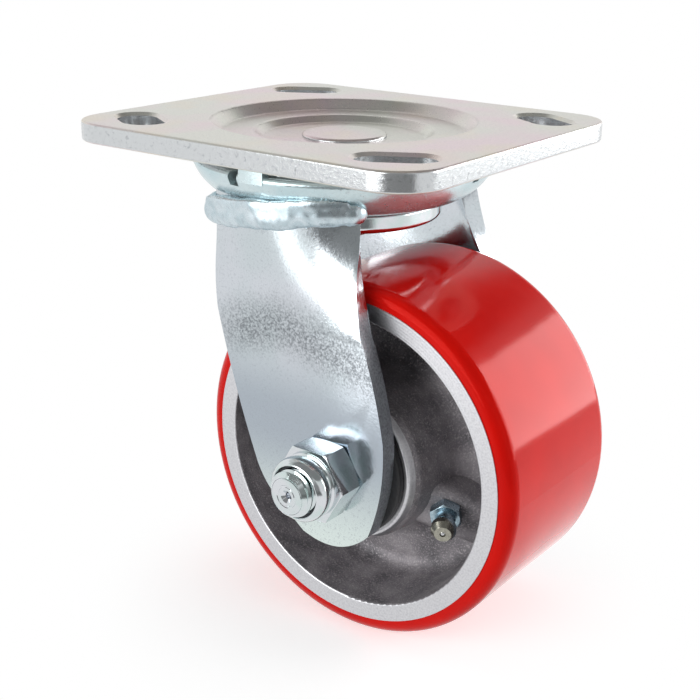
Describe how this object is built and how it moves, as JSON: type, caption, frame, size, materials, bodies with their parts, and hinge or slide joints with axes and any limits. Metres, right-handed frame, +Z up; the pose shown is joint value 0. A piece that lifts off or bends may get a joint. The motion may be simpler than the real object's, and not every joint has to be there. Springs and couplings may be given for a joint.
{
  "type": "swivel castor",
  "caption": "Plate-mounted swivel castor: slotted pressed plate on a double ball race, welded fork and a wide red wheel on a cast centre.",
  "frame": {"origin": "where the swivel axis meets the top face of the mounting plate", "axes": "+Z up out of the plate along the swivel axis, +X the way the axle trails, -Y the side of the lock nut"},
  "size_m": [0.1303, 0.1036, 0.1381],
  "materials": {
    "plate_zinc": "satin",
    "bright_zinc": "satin",
    "blue_zinc": "satin",
    "weld_zinc": "satin",
    "bearing_steel": "polished",
    "insert_nylon": "satin",
    "black_washer": "satin",
    "cast_core": "matte",
    "red_tread": "satin",
    "nipple_zinc": "satin"
  },
  "bodies": {
    "mounting": {"top_plate": "plate_zinc", "kingpin": "bright_zinc", "kingpin_nut": "bright_zinc", "lower_race_cup": "bright_zinc"},
    "upper_ball_set": {"upper_balls": "bearing_steel"},
    "lower_ball_set": {"lower_balls": "bearing_steel"},
    "fork": {"yoke_base": "blue_zinc", "near_leg": "blue_zinc", "far_leg": "blue_zinc", "near_weld_bead": "weld_zinc", "far_weld_bead": "weld_zinc", "axle_bolt": "bright_zinc", "lock_nut": "bright_zinc", "nut_insert": "insert_nylon", "axle_sleeve": "bearing_steel", "near_thrust_washer": "black_washer", "far_thrust_washer": "black_washer"},
    "roller_set": {"bearing_rollers": "bearing_steel", "roller_cage": "bearing_steel"},
    "wheel": {"wheel_core": "cast_core", "tread": "red_tread", "grease_nipple": "nipple_zinc", "nipple_ball": "bearing_steel"}
  },
  "joints": [
    {"name": "swivel", "type": "hinge", "parent": "mounting", "child": "fork", "pos_m": [0, 0, 0], "axis": [0, 0, 1], "continuous": true},
    {"name": "upper_balls_orbit", "type": "hinge", "parent": "mounting", "child": "upper_ball_set", "pos_m": [0, 0, 0], "axis": [0, 0, 1], "continuous": true},
    {"name": "lower_balls_orbit", "type": "hinge", "parent": "mounting", "child": "lower_ball_set", "pos_m": [0, 0, 0], "axis": [0, 0, 1], "continuous": true},
    {"name": "wheel_spin", "type": "hinge", "parent": "fork", "child": "wheel", "pos_m": [0.0224, 0, -0.0873], "axis": [0, 1, 0], "continuous": true},
    {"name": "rollers_orbit", "type": "hinge", "parent": "fork", "child": "roller_set", "pos_m": [0.0224, 0, -0.0873], "axis": [0, 1, 0], "continuous": true}
  ],
  "couplings": [
    {"joint": "upper_balls_orbit", "follows": "swivel", "ratio": 0.5},
    {"joint": "lower_balls_orbit", "follows": "swivel", "ratio": 0.5},
    {"joint": "rollers_orbit", "follows": "wheel_spin", "ratio": 0.6215}
  ]
}
